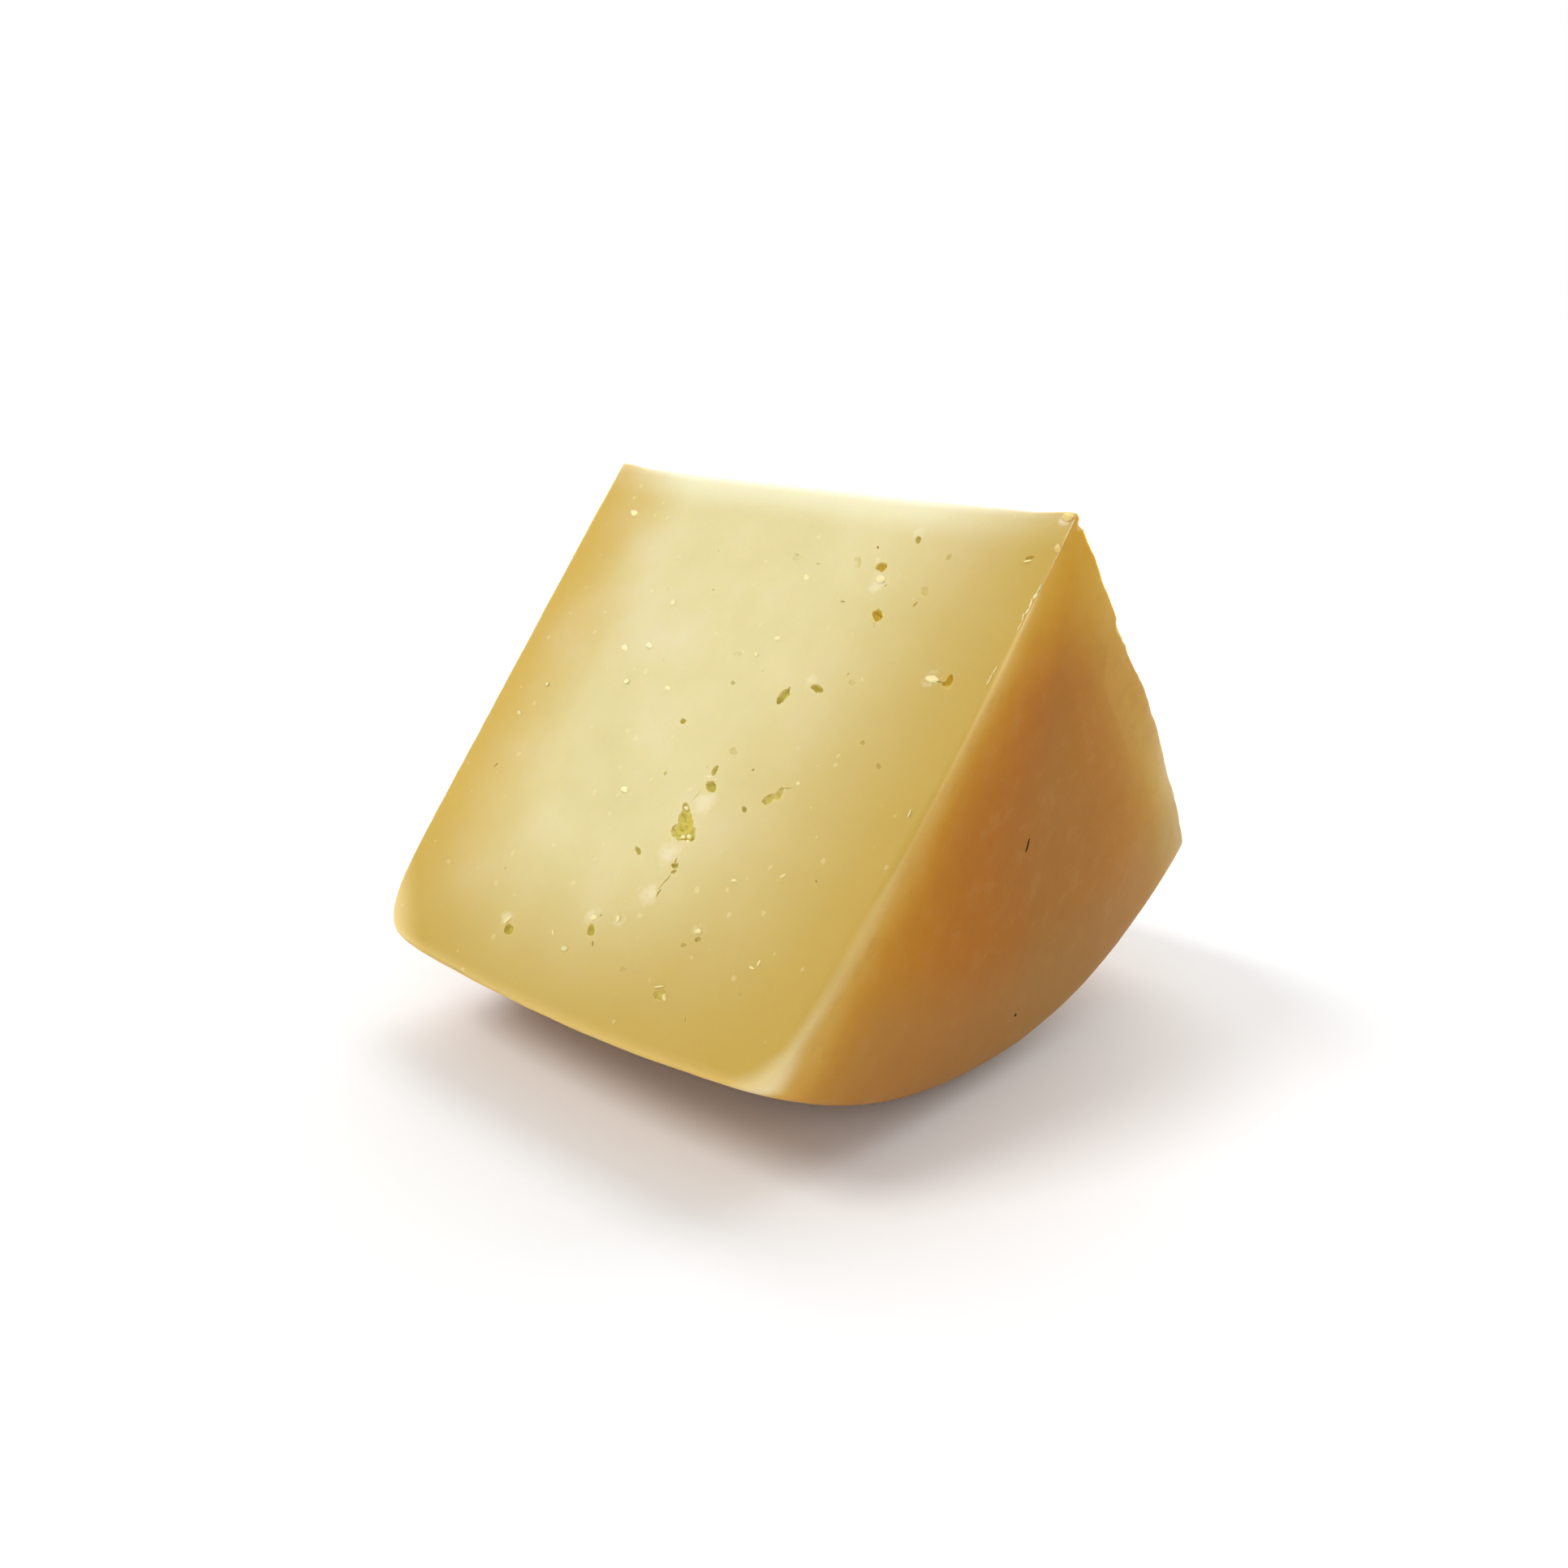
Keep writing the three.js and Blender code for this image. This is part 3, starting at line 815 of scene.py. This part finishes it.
def pasteColour(place):
    # Pale straw, and ochre where the paste has dried near the rind, most of all towards the top face. Lower
    # down the cut the bands widen as painted shade.
    underTop, underFoot, underSide = depths(place)
    below = belowRidge(place)
    drift = noise(place, 14 * mm, detail=3.0) * 3 * mm
    # The terms in below widen the bands down the cut: painted shade where less light falls.
    fromTop = ramp(underTop + drift, look["topDryingAndShade"] + below * 0.3, -3 * mm)
    fromSide = ramp(underSide + drift, look["sideDryingAndShade"], -4 * mm) * 0.95
    fromFoot = ramp(underFoot + drift * 1.5, look["footDryingAndShade"] + below * 0.16, 0.0) * 0.88
    clouds = noise(place, 16 * mm, detail=4.0, roughness=0.55, shift=0.4)
    colour = mixed(look["paste"], look["cream"], limited(clouds * 2))
    colour = mixed(colour, look["olive"], limited(clouds * -1.2))
    colour = mixed(colour, look["amber"], fromFoot)
    ochre = 1 - (1 - fromTop) * (1 - fromSide)
    colour = mixed(colour, look["ochre"], ochre)
    # Painted glow and highlight along the ridge, where light would shine through the thin paste.
    ridgeGlowShare = ramp(below, 6 * mm, 0.6 * mm) * (1 - larger(ochre, fromFoot) * 0.9)
    colour = mixed(colour, look["ridge"], ridgeGlowShare * 0.9)
    colour = mixed(colour, look["crestHighlight"], ramp(below, 1.8 * mm, 0.4 * mm) * (1 - larger(ochre, fromFoot)))
    # Painted highlights on the paste's edge at the side and on its corner at the underside.
    colour = mixed(colour, look["rim"], ramp(underSide, 2.6 * mm, 0.4 * mm) * 0.5)
    return mixed(colour, look["corner"], ramp(underFoot + underSide, 16 * mm, 6 * mm) * 0.8)


def edgeLineAndHighlight(colour, place):
    # The pale line along the edge of the front cut and the top face, paste over the rounded edge brightened
    # as a painted highlight, which ends at the foot in a wider painted highlight patch.
    below = belowRidge(place)
    underTop, _, underSide = depths(place)
    lean = ramp(below, 56 * mm, 68 * mm)  # rises where the line turns from the edge towards the foot
    aside = larger(behindCut(place, -1) * (0.8 + lean * 0.4), underTop * (1.3 - lean * 0.45))
    foot = ramp(below, 63.5 * mm, 69 * mm) * 2.6 + ramp(underSide, 4 * mm, 0.5 * mm) * lean * 2.6
    width = ramp(below, 40 * mm, 52 * mm, 1.0, 2.6) + foot  # in millimetres
    share = ramp(aside / (width * mm), 1.0, 0.1) * ramp(below, 9 * mm, 13 * mm) * 0.88
    return mixed(colour, mixed(look["edge"], look["edgeFootHighlight"], ramp(below, 54 * mm, 68 * mm)), share)


def spots(place, spacing, largest, shift):
    # Soft ragged specks of all sizes up to a radius, one or none in each cell of the paste.
    place = vector("ADD", place, (shift, shift, shift))
    place = vector("ADD", place, scaled(noiseColour(place, 0.6 * mm), 0.8 * mm))
    node = addNode(place.tree, "ShaderNodeTexVoronoi", None, {"Vector": place, "Scale": 1 / spacing})
    chance = apart(Wire(node.outputs["Color"]))[0]
    radius = chance * chance * largest
    return ramp(Wire(node.outputs["Distance"]) * spacing - radius, 0.1 * mm, -0.15 * mm)


def rindColour(place, front, back):
    # Brown, golden towards the front cut and the ridge, paler towards the back cut, with a lighter facet
    # along its edge. The bands by both cuts are painted glow of light through the edges, the facet a painted
    # highlight.
    below = belowRidge(place)
    mottle = noise(place, 11 * mm, detail=4.0, shift=0.2)
    streaks = noise(vector("MULTIPLY", place, (1.0, 1.0, 0.35)), 5 * mm, detail=3.0, shift=0.5)
    drift = (mottle * 2.0 + streaks * 1.0) * mm
    reach = 30 * mm  # the last distance of both bands
    bands = [look["rindGlowNearFront"], look["rindGlowNearBack"]]
    stops = [{near * mm: colour for near, colour in band.items()} for band in bands]
    ownFront = (front + drift * ramp(front, 0.0, 8 * mm)) * ramp(below, 20 * mm, 72 * mm, 1.3, 0.52)
    ownBack = (back + drift * ramp(back, 0.0, 8 * mm)) * ramp(below, 46 * mm, 62 * mm, 1.0, 0.78)
    ownBack = ownBack + ramp(below, 44 * mm, 20 * mm) * 2.5 * mm
    share = ramp(front - back, -8 * mm, 8 * mm)
    colour = mixed(graded(ownFront, reach, stops[0]), graded(ownBack, reach, stops[1]), share)
    # A painted highlight where a facet along the back cut's edge would catch the light.
    facetHighlight = smaller(7.6 * mm, (below - 15 * mm) * 0.7) - back + drift * 0.15
    facetHighlight = ramp(facetHighlight, -0.5 * mm, 0.5 * mm) * ramp(below, 50 * mm, 30 * mm)
    colour = mixed(colour, look["rindFacetHighlight"], facetHighlight * 0.6)
    colour = mixed(colour, look["rindTop"], ramp(below, 27 * mm, 3 * mm) * 0.8)
    flecks = noise(place, 4 * mm, detail=5.0, roughness=0.65, shift=0.7) * 1.6
    colour = mixed(colour, look["rindPale"], limited(flecks - 0.1) * 0.2)
    colour = mixed(colour, look["rindDark"], limited(-flecks - 0.1) * 0.26)
    # Painted light: the rind near the side is made paler to make up for the shade that falls there.
    low = ramp(depths(place)[2], 26 * mm, 10 * mm) * ramp(front, 3 * mm, 16 * mm)
    return mixed(colour, look["rindLowBrightening"], low * 0.38)


def eyeColour(place):
    # Olive yellow, and golden in the upper eyes near the top face.
    below = belowRidge(place)
    high = ramp(below, 6.5 * mm, 8.5 * mm) * ramp(below, 25 * mm, 23 * mm)
    return mixed(look["eye"], look["goldenEye"], high * ramp(apart(place)[0], 14 * mm, 18 * mm) * 0.8)


def cheeseMaterial():
    material = bpy.data.materials.new("cheese")
    material.use_nodes = True
    tree = material.node_tree
    shader = tree.nodes["Principled BSDF"]
    place = output(tree, "ShaderNodeTexCoord", None, None, "Object")
    names = ("cut", "eye", "speck", "smear")
    cutShare, eye, speck, smear = [
        output(tree, "ShaderNodeAttribute", {"attribute_name": name}, None, "Fac") for name in names
    ]
    front = behindCut(place, -1)
    back = behindCut(place, 1)
    fine = noise(place, 1.6 * mm, detail=3.0, roughness=0.6)

    paste = pasteColour(place)
    torn = noise(place, 1.8 * mm, detail=3.0, shift=0.9) * 1.1 + fine * 0.5
    # Pale patches beside the eyes: smeared paste, and painted glow and glint of light.
    patch = ramp(smear + torn * 0.45, 0.2, 1.0) * 0.7
    paste = mixed(paste, look["smear"], patch)
    pale = spots(place, look["speckSpacing"], look["speckSize"], 0.0)
    paste = mixed(paste, look["speck"], larger(speck, pale * 0.24))
    paste = mixed(paste, look["eye"], spots(place, 3.4 * mm, 0.36 * mm, 0.37) * 0.28)
    hollow = ramp(smaller(front, back), 0.1 * mm, 0.7 * mm) * eye
    paste = mixed(paste, eyeColour(place), hollow * 0.9)
    # Painted shade: the nicks in the rind are dark inside.
    rind = mixed(rindColour(place, front, back), look["rindNickShade"], eye)
    onRind = ramp(cutShare, 0.6, 0.1)
    # Paste over the rounded front edge, with a painted highlight along it.
    colour = edgeLineAndHighlight(mixed(paste, rind, onRind), place)

    rough = look["roughness"] + fine * 0.05 + onRind * 0.1 - eye * 0.1
    bumpHeight = fine * 0.015 * mm + noise(place, 0.5 * mm) * 0.006 * mm
    bump = output(tree, "ShaderNodeBump", None, {"Strength": 1.0, "Distance": 1.0, "Height": bumpHeight})
    for name, wire in {"Base Color": colour, "Roughness": rough, "Normal": bump}.items():
        tree.links.new(wire.socket, shader.inputs[name])
    shader.inputs["Subsurface Weight"].default_value = 1.0
    shader.inputs["Subsurface Radius"].default_value = look["glowColour"]
    shader.inputs["Subsurface Scale"].default_value = look["glow"]
    shader.inputs["Specular IOR Level"].default_value = look["shine"]
    return material


frontFrame = (cutFrame(-1), ridge)
backFrame = (cutFrame(1), ridge)
topFrame = (Matrix(((0, 0, 1), (1, 0, 0), (0, -1, 0))), ridge + Vector((wheel["halfHeight"], 0, 0)))
eyeGroups = [(eyes, *frontFrame) for eyes in (bellEye, cracks, frontEyes, dimples)]
placeGroups = {
    "eyePlaces": [*eyeGroups, (scattered(backEyes, cheese["seed"]), *backFrame)],
    "crumbPlaces": [(crumbs, *frontFrame), (burrsAndGlints, *frontFrame)],
    "smearPlaces": [(smearAndGlowPatches, *frontFrame)],
    "chipPlaces": [(chips, *backFrame)],
    "nickPlaces": [(nicks, *topFrame)],
}
for name, groups in placeGroups.items():
    cheese[name] = placesObject(name, *groups)
cheese["material"] = cheeseMaterial()
print("lumps placed and material mixed")
wedge = grown("cheese", cheeseTree, cheese)
for name in placeGroups:
    bpy.data.objects.remove(cheese[name])
print("cheese grown:", len(wedge.data.vertices), "vertices,", len(wedge.data.polygons), "faces")
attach(wedge, "root")
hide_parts("cheese_wedge")


# The studio

studio = {
    "floor": (246, 246, 246),
    "floorReach": 40.0,
    "ambient": 0.4,  # strength of the light from all round
    "lamps": {  # where each shines from, how strongly, and how wide it is in degrees
        "key": {"from": (-0.35, -0.55, 0.76), "strength": 1.3, "softness": 25},
        "back": {"from": (-0.2, 0.75, 0.63), "strength": 2.2, "softness": 80},
        "fill": {"from": (0.7, -0.6, 0.4), "strength": 0.7, "softness": 40},
    },
    "lens": 34.03,
    "cameraFromRidge": Vector((156.755, -177.237, 26.174)) * mm,
    "gaze": Vector((-0.64717, 0.69866, -0.30503)),
    "roll": math.radians(0.49),
}


def floorObject():
    mesh = bpy.data.meshes.new("floor")
    far = studio["floorReach"]
    mesh.from_pydata([(-far, -far, 0), (far, -far, 0), (far, far, 0), (-far, far, 0)], [], [(0, 1, 2, 3)])
    floor = bpy.data.objects.new("floor", mesh)
    bpy.context.scene.collection.objects.link(floor)
    material = bpy.data.materials.new("floor")
    material.use_nodes = True
    shader = material.node_tree.nodes["Principled BSDF"]
    shader.inputs["Base Color"].default_value = linear(studio["floor"])
    shader.inputs["Roughness"].default_value = 0.9
    mesh.materials.append(material)
    return floor


def addLamp(name, values):
    # A far, soft light that comes from the side given.
    lamp = bpy.data.lights.new(name, "SUN")
    lamp.energy = values["strength"]
    lamp.angle = math.radians(values["softness"])
    holder = bpy.data.objects.new(name, lamp)
    holder.rotation_euler = Vector(values["from"]).to_track_quat("Z", "Y").to_euler()
    bpy.context.scene.collection.objects.link(holder)


def addWorld():
    # White behind the scene, and a dimmer white as the light from all round.
    world = bpy.data.worlds.new("studio")
    world.use_nodes = True
    tree = world.node_tree
    seen = output(tree, "ShaderNodeLightPath", None, None, "Is Camera Ray")
    background = tree.nodes["Background"]
    background.inputs["Color"].default_value = (1, 1, 1, 1)
    strength = studio["ambient"] + seen * (1 - studio["ambient"])
    tree.links.new(strength.socket, background.inputs["Strength"])
    bpy.context.scene.world = world


def addCamera():
    lensPiece = bpy.data.cameras.new("camera")
    lensPiece.lens = studio["lens"]
    lensPiece.sensor_width = 36
    lensPiece.clip_start = 0.01
    camera = bpy.data.objects.new("camera", lensPiece)
    aimed = studio["gaze"].to_track_quat("-Z", "Y").to_matrix() @ Matrix.Rotation(studio["roll"], 3, "Z")
    camera.matrix_world = Matrix.Translation(ridge + studio["cameraFromRidge"]) @ aimed.to_4x4()
    bpy.context.scene.collection.objects.link(camera)
    bpy.context.scene.camera = camera


bpy.context.scene.view_settings.view_transform = "Standard"
floorObject()
addWorld()
for name, values in studio["lamps"].items():
    addLamp(name, values)
addCamera()
print("studio lit")
